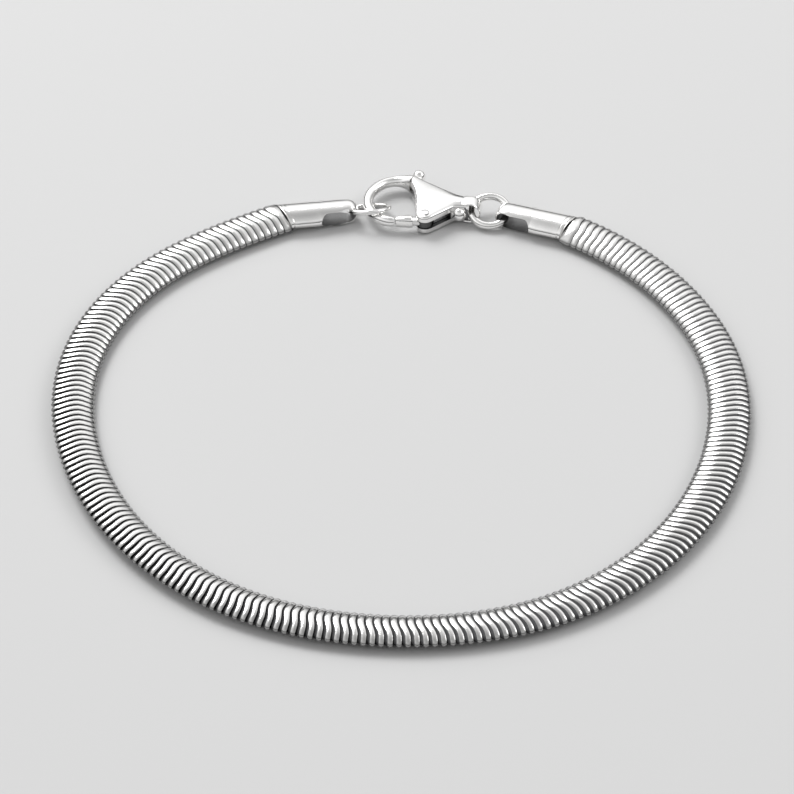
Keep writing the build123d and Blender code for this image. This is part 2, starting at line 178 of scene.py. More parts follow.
class Finishes(bpy.types.PropertyGroup):
    """Colours, painted shade and roughness"""
    silver: colour("Silver", "Colour of the polished silver", (0.93, 0.925, 0.915))
    # Painted shade: the gap silver is a dark colour put on the links' collars and the pin's seams, where
    # shade falls between parts
    painted_gap_shade: colour("Painted gap shade", "Colour of the silver down in the gaps", (0.11, 0.11, 0.113))
    # Painted shade: the inside silver is a dark colour put in the fittings' eyes, mouths and slot, where
    # shade falls
    inside: colour("Inside silver", "Colour of the unpolished silver inside a fitting", (0.13, 0.13, 0.13))
    steel: colour("Spring steel", "Colour of the spring leaf", (0.55, 0.55, 0.56))
    # Painted shade: the edge tone and the rims' polish darken the links' colour at the band's edges and along
    # each link's rims
    painted_edge_brightness: share("Edge tone", "Brightness of the links at the band's edges", 0.34)
    rear_rim_brightness: share("Rear rim brightness", "Polish left along a link's rear edge", 0.35)
    front_rim_brightness: share("Front rim brightness", "Polish left along a link's front edge", 0.55)
    chain_roughness: share("Chain roughness", "Roughness of the links", 0.16)
    fitting_roughness: share("Fitting roughness", "Roughness of the caps, rings and clasp", 0.14)


class StageSettings(bpy.types.PropertyGroup):
    """The floor and the camera"""
    floor_colour: colour("Floor colour", "Colour of the plain floor", (0.52, 0.52, 0.52))
    elevation: angle("Camera elevation", "Camera's angle above the floor", 38.5)
    distance: FloatProperty(name="Camera distance", description="Camera's distance from the bracelet",
                            default=0.4055, unit="LENGTH")
    lens: FloatProperty(name="Lens", description="Focal length of the camera", default=199.5, unit="CAMERA")


# Meshes from arrays

def add_mesh(name, verts, faces, materials, material_index=None, smooth=True):
    """A mesh object at the origin from vertices in millimetres and the faces' corner numbers."""
    mesh = bpy.data.meshes.new(name)
    mesh.from_pydata((verts * MM).tolist(), [], faces if isinstance(faces, list) else faces.tolist())
    for material in materials:
        mesh.materials.append(material)
    if material_index is not None:
        mesh.polygons.foreach_set("material_index", material_index)
    mesh.polygons.foreach_set("use_smooth", np.full(len(mesh.polygons), smooth))
    mesh.update()
    piece = bpy.data.objects.new(name, mesh)
    bpy.context.scene.collection.objects.link(piece)
    return piece


def ring_quads(rows, columns):
    """Corner numbers of a grid that closes on itself both ways: rows times columns quads."""
    row = np.arange(rows)[:, None]
    column = np.arange(columns)[None, :]
    next_row = (row + 1) % rows
    next_column = (column + 1) % columns
    return np.stack(np.broadcast_arrays(
        row * columns + column, row * columns + next_column,
        next_row * columns + next_column, next_row * columns + column), axis=-1)


def strip_quads(rows, columns, start=0):
    """Corner numbers of a grid that closes on itself across its columns only."""
    return start + ring_quads(rows, columns)[:-1].reshape(-1, 4)


def end_quads(half, start, flip):
    """Corner numbers that close a row of mirrored points by pairing its right half with its left."""
    right = np.arange(half - 1)
    quads = start + np.stack([right, right + 1, 2 * half - 2 - right, 2 * half - 1 - right], axis=-1)
    return quads[:, ::-1] if flip else quads


def join_grids(grids):
    """Vertices and faces of several closed grids as one mesh. Each grid comes with whether its faces
    are turned over and whether its last row runs back into its first; the others get end faces."""
    verts, faces, start = [], [], 0
    for grid, flip, looped in grids:
        rows, columns = grid.shape[:2]
        quads = (ring_quads(rows, columns).reshape(-1, 4) + start if looped
                 else strip_quads(rows, columns, start))
        ends = [] if looped else [range(start + columns - 1, start - 1, -1),
                                  range(start + (rows - 1) * columns, start + rows * columns)]
        faces += (quads[:, ::-1] if flip else quads).tolist()
        faces += [list(end)[::-1] if flip else list(end) for end in ends]
        verts.append(grid.reshape(-1, 3))
        start += rows * columns
    return np.concatenate(verts), faces


def laid(verts, place, turn):
    """Points of a piece's own drawing, turned in plan and moved to their place."""
    x, y, z = verts.T
    return np.stack([place[0] + x * math.cos(turn) - y * math.sin(turn),
                     place[1] + x * math.sin(turn) + y * math.cos(turn), z], axis=1)


def set_sharp(mesh, sharp):
    """Keep a mesh's sharp edges in its own attribute."""
    mesh.attributes.new("sharp_edge", "BOOLEAN", "EDGE").data.foreach_set("value", sharp)
    mesh.update()


def mark_rings_sharp(mesh, rows, columns):
    """Mark the edges that run round each link as sharp, all but its crown's."""
    ends = np.empty(len(mesh.edges) * 2, dtype=int)
    mesh.edges.foreach_get("vertices", ends)
    row = (ends.reshape(-1, 2) // columns) % rows
    set_sharp(mesh, (row[:, 0] == row[:, 1]) & (row[:, 0] != 1))


def split_at(mesh, degrees):
    """Mark as sharp the edges where two faces meet at more than an angle."""
    normals = np.empty(len(mesh.polygons) * 3)
    mesh.polygons.foreach_get("normal", normals)
    normals = normals.reshape(-1, 3)
    edge_of = np.empty(len(mesh.loops), dtype=int)
    mesh.loops.foreach_get("edge_index", edge_of)
    corners = np.empty(len(mesh.polygons), dtype=int)
    mesh.polygons.foreach_get("loop_total", corners)
    face_of = np.repeat(np.arange(len(corners)), corners)
    order = np.argsort(edge_of, kind="stable")
    edges, first, count = np.unique(edge_of[order], return_index=True, return_counts=True)
    pair = count == 2
    face_a, face_b = face_of[order[first[pair]]], face_of[order[first[pair] + 1]]
    sharp = np.ones(len(mesh.edges), dtype=bool)
    sharp[edges[pair]] = (normals[face_a] * normals[face_b]).sum(axis=1) < math.cos(math.radians(degrees))
    set_sharp(mesh, sharp)


# The chain's curve

def end_slope(knots, points):
    """Slope, at the first knot, of the cubic that runs through four points."""
    powers = np.vander(knots - knots[0], 4, increasing=True)
    return np.linalg.solve(powers, points)[1]


def route_samples(count=6000):
    """Distances, places and directions along the route: a cubic spline through its points, with each
    knot at the summed distance between points, its slopes found so that the bend changes evenly."""
    jumps = np.diff(ROUTE, axis=0)
    steps = np.linalg.norm(jumps, axis=1)
    knots = np.concatenate([[0], np.cumsum(steps)])
    size = len(ROUTE)
    matrix = np.eye(size)
    right = np.zeros((size, 2))
    right[0] = end_slope(knots[:4], ROUTE[:4])
    right[-1] = end_slope(knots[::-1][:4], ROUTE[::-1][:4])
    inner = np.arange(1, size - 1)
    before, after = 1 / steps[:-1], 1 / steps[1:]
    matrix[inner, inner - 1] = before
    matrix[inner, inner] = 2 * (before + after)
    matrix[inner, inner + 1] = after
    right[1:-1] = 3 * (jumps[:-1] * before[:, None]**2 + jumps[1:] * after[:, None]**2)
    slopes = np.linalg.solve(matrix, right)
    place = np.linspace(0, knots[-1], count)
    run = np.clip(np.searchsorted(knots, place, side="right") - 1, 0, size - 2)
    width = steps[run][:, None]
    u = (place - knots[run])[:, None] / width
    start, end = ROUTE[run], ROUTE[run + 1]
    slope_a, slope_b = slopes[run] * width, slopes[run + 1] * width
    spot = ((2 * u**3 - 3 * u**2 + 1) * start + (u**3 - 2 * u**2 + u) * slope_a
            + (-2 * u**3 + 3 * u**2) * end + (u**3 - u**2) * slope_b)
    along = ((6 * u**2 - 6 * u) * start + (3 * u**2 - 4 * u + 1) * slope_a
             + (6 * u - 6 * u**2) * end + (3 * u**2 - 2 * u) * slope_b)
    along /= np.linalg.norm(along, axis=1)[:, None]
    length = np.concatenate([[0], np.cumsum(np.linalg.norm(np.diff(spot, axis=0), axis=1))])
    return length, spot, along


def lean_at(share):
    """The band's lean in radians at shares of its length, by a half cosine between the places of LEAN."""
    run = np.clip(np.searchsorted(LEAN[:, 0], share) - 1, 0, len(LEAN) - 2)
    part = (share - LEAN[run, 0]) / (LEAN[run + 1, 0] - LEAN[run, 0])
    blend = (1 - np.cos(np.pi * part)) / 2
    return np.radians(LEAN[run, 1] + (LEAN[run + 1, 1] - LEAN[run, 1]) * blend)


def band_frames(where, sizes):
    """Origins and axes (along, inward, up) of the band at distances along the route: the band rests
    on the floor, so its middle is as high as the leaning oval's lowest point needs."""
    length, spot, along = route_samples()
    x = np.stack([np.interp(where, length, along[:, k]) for k in (0, 1)] + [np.zeros(len(where))], axis=1)
    x /= np.linalg.norm(x, axis=1)[:, None]
    lean = lean_at(where / length[-1])[:, None]
    inward = np.stack([-x[:, 1], x[:, 0], np.zeros(len(where))], axis=1)
    up = np.array([0, 0, 1]) * np.cos(lean) + inward * np.sin(lean)
    y = np.cross(up, x)
    height = np.hypot(sizes.band_width / 2 * np.sin(lean), sizes.band_thickness / 2 * np.cos(lean))[:, 0]
    origin = np.stack([np.interp(where, length, spot[:, 0]), np.interp(where, length, spot[:, 1]), height],
                      axis=1)
    return origin, x, y, up


# Finishes

def new_material(name):
    """A material, its node tree and its shader."""
    material = bpy.data.materials.new(name)
    material.use_nodes = True
    return material, material.node_tree, material.node_tree.nodes["Principled BSDF"]


def add_node(tree, kind, inputs, **settings):
    """A node with its settings. Each input is given a value, or the socket that it is linked to."""
    node = tree.nodes.new("ShaderNode" + kind)
    for name, value in settings.items():
        setattr(node, name, value)
    for name, value in inputs.items():
        if isinstance(value, bpy.types.NodeSocket):
            tree.links.new(value, node.inputs[name])
        else:
            node.inputs[name].default_value = value
    return node


def add_range(tree, value, source, target, **settings):
    """A value carried from one range to another."""
    ranges = dict(zip(("From Min", "From Max", "To Min", "To Max"), source + target))
    return add_node(tree, "MapRange", {"Value": value, **ranges}, **settings).outputs["Result"]


def add_product(tree, base, factor):
    """A base colour multiplied by a factor."""
    inputs = {"Factor": 1.0, "A": base, "B": factor}
    return add_node(tree, "Mix", inputs, data_type="RGBA", blend_type="MULTIPLY").outputs["Result"]


def metal(name, base, roughness, grain, relief, painted_edge_brightness=None):
    """A metal whose fine hairlines and soft smudges vary its roughness, tone and relief. With an edge
    tone, a brightness attribute on the piece darkens its colour at the links' rims and the band's edges, as
    painted shade."""
    material, tree, shader = new_material(name)
    place = add_node(tree, "TexCoord", {}).outputs["Object"]
    # The smudges are about eight times as broad as the hairlines
    smudge = add_node(tree, "TexNoise", {"Scale": grain * 0.12, "Detail": 3.0, "Vector": place})
    hair = add_node(tree, "TexNoise", {"Scale": grain, "Detail": 4.0, "Vector": place}).outputs["Fac"]
    tone = add_range(tree, smudge.outputs["Fac"], (0.0, 1.0), (0.9, 1.04))
    tint = add_product(tree, (*base, 1), tone)
    # Painted shade: the colour darkens where the piece's brightness attribute is low, at the links' rims and
    # the band's edges
    if painted_edge_brightness is not None:
        painted_brightness = add_node(tree, "Attribute", {}, attribute_name="painted_brightness").outputs["Fac"]
        tint = add_product(tree, tint, add_range(tree, painted_brightness, (0.0, 1.0), (painted_edge_brightness, 1.0)))
    rough = add_range(tree, hair, (0.3, 0.7), (roughness * 0.75, roughness * 1.4))
    bump = add_node(tree, "Bump", {"Height": hair, "Strength": relief, "Distance": 0.02 * MM})
    shader.inputs["Metallic"].default_value = 1.0
    tree.links.new(tint, shader.inputs["Base Color"])
    tree.links.new(rough, shader.inputs["Roughness"])
    tree.links.new(bump.outputs["Normal"], shader.inputs["Normal"])
    return material


def polished(name, finish):
    """The polished silver of a fitting."""
    return metal(name, finish.silver, finish.fitting_roughness, FITTING_GRAIN, FITTING_RELIEF)


def painted_inside_shade(name, finish):
    """The dark colour inside a fitting: painted shade."""
    return metal(name, finish.inside, INSIDE_ROUGHNESS, FITTING_GRAIN, PAINTED_SHADE_RELIEF)


# The chain

def oval_arcs(half_width, half_height, end_share):
    """The band's oval: the radius of its tight end arcs, how far their centres lie from the middle,
    the radius of its broad arcs, and the turn at which one runs into the other."""
    tight = half_height * end_share
    reach = half_width - tight
    broad = (reach**2 + half_height**2 - tight**2) / (2 * (half_height - tight))
    return tight, reach, broad, math.atan2(broad - half_height, reach)


def oval_height(y, half_width, half_height, end_share):
    """Height of the band's oval at places across it, and nothing beyond its ends."""
    tight, reach, broad, join = oval_arcs(half_width, half_height, end_share)
    wide = np.abs(y)
    return np.where(wide < reach + tight * math.cos(join),
                    np.sqrt(np.clip(broad**2 - wide**2, 0, None)) - (broad - half_height),
                    np.sqrt(np.clip(tight**2 - (wide - reach)**2, 0, None)))


def link_section(sizes):
    """Points round a link's section as shares of its half width and half thickness: an oval's top,
    closer together where the wave lies, then its underside."""
    top = np.array([0.94, 0.7, 0.4, 0.2, 0.0, -0.2, -0.4, -0.6, -0.8, -0.95])
    below = np.array([-0.7, 0.7])
    y = np.concatenate([[1.0], top, [-1.0], below])
    half_width, half_thick = sizes.band_width / 2, sizes.band_thickness / 2
    z = oval_height(y * half_width, half_width, half_thick, sizes.oval_end_share) / half_thick
    z[-len(below):] *= -1
    return y, z


def edge_shift(y, sizes):
    """How far a link's edge lies along the chain at a place across it: half the rise ahead on the
    outer side, half behind on the inner side, and a half cosine between."""
    part = np.clip((-y - sizes.wave_offset) / sizes.wave_length + 0.5, 0, 1)
    return -np.cos(np.pi * part) / 2 * sizes.wave_rise


class BRACELET_OT_chain(bpy.types.Operator):
    """Build the chain's links as one piece"""
    bl_idname = "bracelet.chain"
    bl_label = "Chain links"

    def execute(self, context):
        sizes = context.scene.bracelet_chain
        finish = context.scene.bracelet_finish
        # The links fill the route between the caps, so the pitch is stretched to a whole number of them
        mouth_gap = 0.15
        length = route_samples()[0][-1]
        margin = mouth_gap + sizes.wave_rise / 2
        room = length - 2 * margin + sizes.link_gap
        count = round(room / sizes.link_pitch)
        pitch = room / count
        half = (pitch - sizes.link_gap) / 2
        where = margin + half + np.arange(count) * pitch
        # Rows along a link: rear edge, crown, front edge, front wall's foot, then the collar's hidden end.
        # Each is the band's oval drawn in by an inset and shifted by the wave
        wall_depth, wall_slope, collar_depth, collar_reach = 0.3, 0.04, 0.44, 0.34
        inset = np.array([sizes.crown, 0.0, sizes.crown, wall_depth, collar_depth])[:, None]
        along_link = np.array([-half + sizes.rim_wear, 0.0, half - sizes.rim_wear, half - wall_slope,
                               -half - collar_reach])[:, None]
        y, z = link_section(sizes)
        across = y * (sizes.band_width / 2 - inset)
        high = z * (sizes.band_thickness / 2 - inset)
        # The gaps are wider on the outer half. Towards the caps they close, from none at a distance to a
        # set share at the caps
        end_side = np.array([1.0, 0.0, -1.0, -1.0, 0.0])[:, None]
        outer = np.clip(-across / (sizes.band_width / 2) * 2, -1, 1)
        near_cap = 1 - np.clip(np.minimum(where, length - where) / sizes.close_reach, 0, 1)
        near_cap = (near_cap**2 * (3 - 2 * near_cap))[:, None, None]
        narrow = end_side * (sizes.gap_spread / 4 * outer * (1 - near_cap)
                             - sizes.link_gap * sizes.close_share / 2 * near_cap)
        along = along_link + narrow + edge_shift(across, sizes)
        # The two end links are straight where they meet the caps, and the first collar goes into its cap
        end_extra, cap_collar_reach = 0.1, 0.7
        straight_end = half + sizes.wave_rise / 2 + end_extra
        along[0, 0] = -straight_end
        along[0, 4] = -straight_end - cap_collar_reach
        along[-1, 2:4] = straight_end
        origin, x_axis, y_axis, z_axis = band_frames(where, sizes)
        verts = (origin[:, None, None] + along[..., None] * x_axis[:, None, None]
                 + across[..., None] * y_axis[:, None, None] + high[..., None] * z_axis[:, None, None])
        rows, columns = across.shape
        first = (np.arange(count) * rows * columns)[:, None, None, None]
        quads = (ring_quads(rows, columns) + first).reshape(-1, 4)
        # From its front wall's foot on a link is coloured dark, as painted shade in the gap. Its colour is
        # also darkened at its rims and the band's edges, as painted shade
        painted_shade_faces = np.tile(np.repeat(np.arange(rows) >= 3, columns), count).astype(int)
        edge_shade_fade, wall_brightness = 0.3, 0.4
        row_brightness = np.array([finish.rear_rim_brightness, 1.0, finish.front_rim_brightness, wall_brightness, 0.0])[:, None]
        painted_brightness = np.clip((1 - np.abs(y)) / edge_shade_fade, 0, 1) * row_brightness
        silver = metal("chain_silver_look", finish.silver, finish.chain_roughness, CHAIN_GRAIN, CHAIN_RELIEF,
                       finish.painted_edge_brightness)
        # The links' collars and slopes down in the gaps get this dark colour as painted shade
        painted_gap_shade = metal("gap_painted_shade_look", finish.painted_gap_shade, GAP_ROUGHNESS, CHAIN_GRAIN, PAINTED_SHADE_RELIEF)
        piece = add_mesh("chain_links", verts.reshape(-1, 3), quads[:, ::-1], [silver, painted_gap_shade], painted_shade_faces)
        attribute = piece.data.attributes.new("painted_brightness", "FLOAT", "POINT")
        attribute.data.foreach_set("value", np.tile(painted_brightness.reshape(-1), count))
        mark_rings_sharp(piece.data, rows, columns)
        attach(piece, "bracelet")
        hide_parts("snake_chain")
        return {"FINISHED"}


# The caps

def half_oval(half_width, half_height, end_share, count):
    """The right half of the band's oval from its lowest to its highest point, evenly spaced: a broad
    arc, a tight end arc, and the broad arc again, each running into the next."""
    tight, reach, broad, join = oval_arcs(half_width, half_height, end_share)
    turn = np.linspace(-join, join, 200)
    end_y, end_z = reach + tight * np.cos(turn), tight * np.sin(turn)
    top_y = np.linspace(end_y[-1], 0, 200)
    top_z = np.sqrt(broad**2 - top_y**2) - (broad - half_height)
    y = np.concatenate([top_y[::-1], end_y, top_y])
    z = np.concatenate([-top_z[::-1], end_z, top_z])
    run = np.concatenate([[0], np.cumsum(np.hypot(np.diff(y), np.diff(z)))])
    place = (np.arange(count) + 0.5) / count * run[-1]
    return np.interp(place, run, y), np.interp(place, run, z)


def cap_half_width(x, tip_width, caps):
    """A cap's half width along its length: constant in its tube, then an even taper that reaches the
    tip's width a little before its end, the two joined by a hyperbola's soft bend."""
    before_end, softness = 0.5, 0.05
    slope = (caps.width - tip_width) / 2 / (caps.length - before_end - caps.tube_length)
    past = x - caps.tube_length
    return caps.width / 2 - slope * (past + np.sqrt(past**2 + softness)) / 2


def strap_rows(tip_width, caps):
    """The strap that runs on from a cap's tube over its eye, round its tip and back underneath. Each row
    is a cross-section: the cap's oval, trimmed to the taper's width with rounded corners, down to the
    level of the eye's rounded end, and a flat inner face there, or the tube's bore where that is higher."""
    middle = caps.height / 2
    inner = middle - caps.strap
    bend_at = caps.length - middle
    straight = caps.eye_start + (bend_at - caps.eye_start) * (1 - np.cos(np.linspace(0, np.pi / 2, 11)))
    turn = np.radians(np.linspace(90, -90, 13))[1:-1]
    none, full = np.zeros(11), np.ones(11)
    centre_x = np.concatenate([straight, bend_at * full, straight[::-1]])[:, None]
    out_x = np.concatenate([none, np.cos(turn), none])[:, None]
    out_z = np.concatenate([full, np.sin(turn), -full])[:, None]
    closing = 1 - np.clip((centre_x - caps.eye_start) / caps.eye_round, 0, 1)
    level = inner * np.sqrt(1 - closing**2)
    # The oval's half width at the level of the inner face
    height = np.linspace(0, middle, 200)
    oval_y = np.linspace(caps.width / 2, 0, 400)
    oval_z = oval_height(oval_y, caps.width / 2, middle, caps.oval_end_share)
    ends_at = np.interp(level, height, np.interp(height, oval_z, oval_y))
    wide = np.minimum(cap_half_width(centre_x + inner * out_x, tip_width, caps), ends_at)
    # Where the strap starts, its corners fade out and its oval is as narrow as the tube's there
    narrowed = 1 - (1 - cap_half_width(caps.eye_start, tip_width, caps) / (caps.width / 2)) * closing
    share = np.cos(np.radians(np.linspace(0, 180, 19)))
    squareness = 10
    corner = 1 - (1 - (1 - np.abs(share)**squareness)**(1 / squareness)) * (1 - closing)
    y_top = wide * share
    oval = oval_height(y_top / narrowed, caps.width / 2, middle, caps.oval_end_share)
    top = level + (oval - level) * corner
    y_under = -0.99 * y_top
    bore = oval_height(y_under, caps.width / 2 - caps.strap, inner, caps.oval_end_share)
    away = np.concatenate([top, np.maximum(level, bore)], axis=1)
    return np.stack([centre_x + out_x * away, np.concatenate([y_top, y_under], axis=1),
                     middle + out_z * away], axis=-1)


def cap_arrays(mouth_turn, tip_width, caps):
    """A cap lying along +X from its mouth: an oval tube with a groove near its mouth and a socket in
    it, and the strap that makes its eye. The mouth is turned to face the chain."""
    half = 22
    middle = caps.height / 2
    right_y, right_z = half_oval(caps.width / 2, middle, caps.oval_end_share, half)
    y = np.concatenate([right_y, -right_y[::-1]]) / (caps.width / 2)
    z = np.concatenate([right_z, right_z[::-1]])
    # Rows from the socket's bottom over the rim and the groove to the eye: the distance from the mouth,
    # and the share by which the oval is drawn in
    socket_depth, groove = 0.9, caps.mouth_groove
    far, drawn_in = np.array([
        (socket_depth, 0.3), (0.0, 0.3), (0.0, 0.05), (0.05, 0.0), (groove, 0.0), (groove + 0.05, 0.05),
        (groove + 0.1, 0.05), (groove + 0.15, 0.0), (1.2, 0.0), (2.2, 0.0), (2.8, 0.0), (3.2, 0.0),
        (caps.eye_start, 0.0)]).T
    scale = 1 - drawn_in
    tube_y = y * (cap_half_width(far, tip_width, caps) * scale)[:, None]
    far = far[:, None]
    tube_x = far - tube_y * math.tan(mouth_turn) * (1 - far / caps.eye_start)
    tube = np.stack([tube_x, tube_y, z * scale[:, None] + middle], axis=-1)
    rows, columns = tube_x.shape
    strap = strap_rows(tip_width, caps)
    strap_columns = strap.shape[1]
    quads = [strip_quads(rows, columns), end_quads(half, 0, True),
             end_quads(half, (rows - 1) * columns, False),
             strip_quads(len(strap), strap_columns, rows * columns)[:, ::-1]]
    # The tube's wall inside its mouth and its two ends, and the strap's inner face, are coloured dark as
    # painted shade
    inside_shade_faces = [np.repeat(np.arange(rows - 1) == 0, columns), np.ones(2 * (half - 1)),
            np.tile(np.arange(strap_columns) >= strap_columns // 2, len(strap) - 1)]
    verts = np.concatenate([tube.reshape(-1, 3), strap.reshape(-1, 3)])
    return verts, np.concatenate(quads), np.concatenate(inside_shade_faces).astype(int)


class BRACELET_OT_caps(bpy.types.Operator):
    """Build the two end caps"""
    bl_idname = "bracelet.caps"
    bl_label = "End caps"

    def execute(self, context):
        caps = context.scene.bracelet_caps
        finish = context.scene.bracelet_finish
        looks = [polished("cap_silver_look", finish), painted_inside_shade("cap_inside_shade_look", finish)]
        spot, along = route_samples()[1:]
        ends = (("hook_side", spot[0], -along[0], caps.turn_hook_side, caps.tip_width_hook_side),
                ("ring_side", spot[-1], along[-1], caps.turn_ring_side, caps.tip_width_ring_side))
        for name, place, chain, turn, tip_width in ends:
            mouth_turn = math.remainder(math.atan2(chain[1], chain[0]) - turn, 2 * math.pi)
            verts, quads, inside_shade_faces = cap_arrays(mouth_turn, tip_width, caps)
            piece = add_mesh("cap_" + name, laid(verts, place, turn), quads, looks, inside_shade_faces)
            split_at(piece.data, 40)
            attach(piece, "bracelet")
            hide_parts("end_cap_" + name)
        return {"FINISHED"}


# The clasp and the rings

def rounded_outline(corners, rounds, count):
    """A closed outline, evenly spaced: each corner is replaced by a parabola that leaves and meets
    its sides at the distance a fillet of its radius would."""
    before = np.roll(corners, 1, axis=0) - corners
    after = np.roll(corners, -1, axis=0) - corners
    before /= np.linalg.norm(before, axis=1)[:, None]
    after /= np.linalg.norm(after, axis=1)[:, None]
    half_turn = np.arccos(np.clip((before * after).sum(axis=1), -1, 1)) / 2
    back = (np.array(rounds) / np.tan(half_turn))[:, None]
    u = np.linspace(0, 1, 9)[None, :, None]
    curves = ((1 - u)**2 * (corners + before * back)[:, None] + 2 * u * (1 - u) * corners[:, None]
              + u**2 * (corners + after * back)[:, None]).reshape(-1, 2)
    curves = np.concatenate([curves, curves[:1]])
    run = np.concatenate([[0], np.cumsum(np.linalg.norm(np.diff(curves, axis=0), axis=1))])
    place = np.arange(count) / count * run[-1]
    return np.stack([np.interp(place, run, curves[:, 0]), np.interp(place, run, curves[:, 1])], axis=1)


def bar(path, side, up, half_side, half_up, columns=20, power=2.0):
    """A bar along a path: each row is a superellipse with its own half sizes across the path."""
    side, up = np.broadcast_to(side, path.shape), np.broadcast_to(up, path.shape)
    turn = np.radians(-90 + (np.arange(columns) + 0.5) * 360 / columns)
    across = np.sign(np.cos(turn)) * np.abs(np.cos(turn))**(2 / power)
    high = np.sign(np.sin(turn)) * np.abs(np.sin(turn))**(2 / power)
    return (path[:, None] + side[:, None] * (half_side[:, None] * across)[..., None]
            + up[:, None] * (half_up[:, None] * high)[..., None])


def flat_bar(start, turn, along, half_wide, half_high, level, power):
    """A straight bar in plan from a point: its half sizes are given at distances along it."""
    heading = np.array([math.cos(turn), math.sin(turn), 0.0])
    path = np.array([*start, level]) + along[:, None] * heading
    return bar(path, (-heading[1], heading[0], 0.0), (0.0, 0.0, 1.0), half_wide, half_high, power=power)


def ball_rows(centre, half_width, half_height, count=14):
    """A ball-like block: round rings from its lowest to its highest point."""
    rise = np.radians(np.linspace(-87, 87, count))
    path = np.array(centre) + np.sin(rise)[:, None] * np.array([0, 0, half_height])
    ring = half_width * np.cos(rise)
    return bar(path, (1.0, 0.0, 0.0), (0.0, 1.0, 0.0), ring, ring)


def ring_prism(centre, inner, outer, low, high, columns=32):
    """A flat washer: four rows of points round its square section."""
    turn = np.arange(columns) / columns * 2 * np.pi
    radius = np.array([outer, outer, inner, inner])[:, None]
    level = np.broadcast_to(np.array([low, high, high, low])[:, None], (4, columns))
    return np.stack([centre[0] + radius * np.cos(turn), centre[1] + radius * np.sin(turn), level], axis=-1)


def prism(corners, low, high):
    """A flat plate's two rows of corners, lower row first."""
    return np.stack([np.insert(np.array(corners), 2, level, axis=1) for level in (low, high)])


def cheek_rows(outline, clasp):
    """One cheek of the clasp as rows of its outline drawn in towards a spine line: the inner face, the
    rim, a rounded edge, and a low dome that rises to the spine. Over the tail's eye the inner face
    follows the eye's round."""
    start, end = np.array([(-4.7, 0.7), (-0.8, 0.0)])
    line = end - start
    spine = start + np.clip((outline - start) @ line / (line @ line), 0, 1)[:, None] * line
    away = outline - spine
    # What a row keeps of its way to the outline: a tenth inside, all but the edge's width on the rim and
    # the rounded edge, and shares of the last of these on the dome. Then the rows' heights as shares
    inset = np.array([0.0, 0.0, 0.02, 0.12, 0.32, 0.65, 1.0])[:, None] * clasp.edge_round
    edge = 1 - inset / np.linalg.norm(away, axis=1)
    dome = edge[-1] * np.array([0.78, 0.55, 0.3, 0.08])[:, None]
    keep = np.concatenate([np.full((1, len(outline)), 0.1), edge, dome])
    rise = np.array([0, 0, 0.45, 0.52, 0.64, 0.74, 0.82, 0.86, 0.93, 0.97, 0.995, 1.0]) * clasp.cheek
    rows = spine + keep[..., None] * away
    eye_top = np.sqrt(np.clip(clasp.eye_radius**2 - rows[..., 0]**2, 0, None))
    hollow = eye_top - clasp.thickness / 2 + clasp.cheek
    return np.concatenate([rows, np.maximum(rise[:, None], hollow)[..., None]], axis=-1)


def hook_rows(clasp):
    """The hook: its path is an end arc from the root, a side arc and an end arc to the tip, and its
    section narrows from the root to a round wire."""
    root, neck, tip = 64, 110, 276
    drop = clasp.hook_side_radius - clasp.hook_end_radius
    reach = math.sqrt(drop**2 - clasp.hook_half_spread**2)
    join = math.degrees(math.atan2(clasp.hook_half_spread, reach))
    degrees = np.concatenate([np.linspace(root, 180 - join, 16), np.linspace(180 - join, 180 + join, 12)[1:],
                              np.linspace(180 + join, tip, 12)[1:]])
    top, low = degrees < 180 - join + 0.01, degrees > 180 + join + 0.01
    radius = np.where(top | low, clasp.hook_end_radius, clasp.hook_side_radius)
    spread = clasp.hook_half_spread * (top.astype(int) - low)
    centre = np.stack([np.where(top | low, 0.0, reach), spread], axis=1)
    turn = np.radians(degrees)
    out = np.stack([np.cos(turn), np.sin(turn)], axis=1)
    path = np.insert(np.array(HOOK_MIDDLE) + centre + radius[:, None] * out, 2, clasp.thickness / 2, axis=1)
    # Half the section's width and height at turns of the path, rounded off at the tip
    wire = clasp.hook_wire / 2
    wide = np.interp(degrees, [root, 80, neck, tip - 12, tip - 2, tip],
                     [0.68, 0.62, wire, wire, wire * 0.95, wire * 0.82])
    high = np.interp(degrees, [root, 72, 90, neck, tip - 12, tip - 2, tip],
                     [0.98, 0.86, 0.6, wire, wire, wire * 0.95, wire * 0.82])
    return bar(path, np.insert(out, 2, 0.0, axis=1), (0.0, 0.0, 1.0), wide, high)


def eye_rows(clasp):
    """The strap round the tail's eye, a closed loop of a round-edged section: thin round the eye's far
    side, filled out to the clasp's flat top and underside where it runs into the neck, and narrower on
    its inside, where the jump ring bears."""
    rows = 48
    turn = np.radians(np.arange(rows) * 360 / rows)
    neckward = -np.cos(turn)
    sunk = np.clip((neckward - 0.45) / 0.4, 0, 1)
    outer = clasp.thickness / 2 / np.where(neckward > 0, np.maximum(np.abs(np.sin(turn)), 0.75), 1.0)
    outer *= 1 - 0.1 * sunk
    middle, half = (outer + clasp.eye_radius) / 2, (outer - clasp.eye_radius) / 2
    out = np.stack([np.cos(turn), np.zeros(rows), np.sin(turn)], axis=1)
    path = out * middle[:, None] + np.array([0, 0, clasp.thickness / 2])
    grid = bar(path, (0.0, 1.0, 0.0), out, clasp.eye_width / 2 * (1 - 0.15 * sunk), half, power=3.0)
    away = np.hypot(grid[..., 0], grid[..., 2] - clasp.thickness / 2)
    inward = np.clip((outer[:, None] - away) / (outer - clasp.eye_radius)[:, None], 0, 1)
    grid[..., 1] *= 1 - 0.3 * inward**2
    return grid


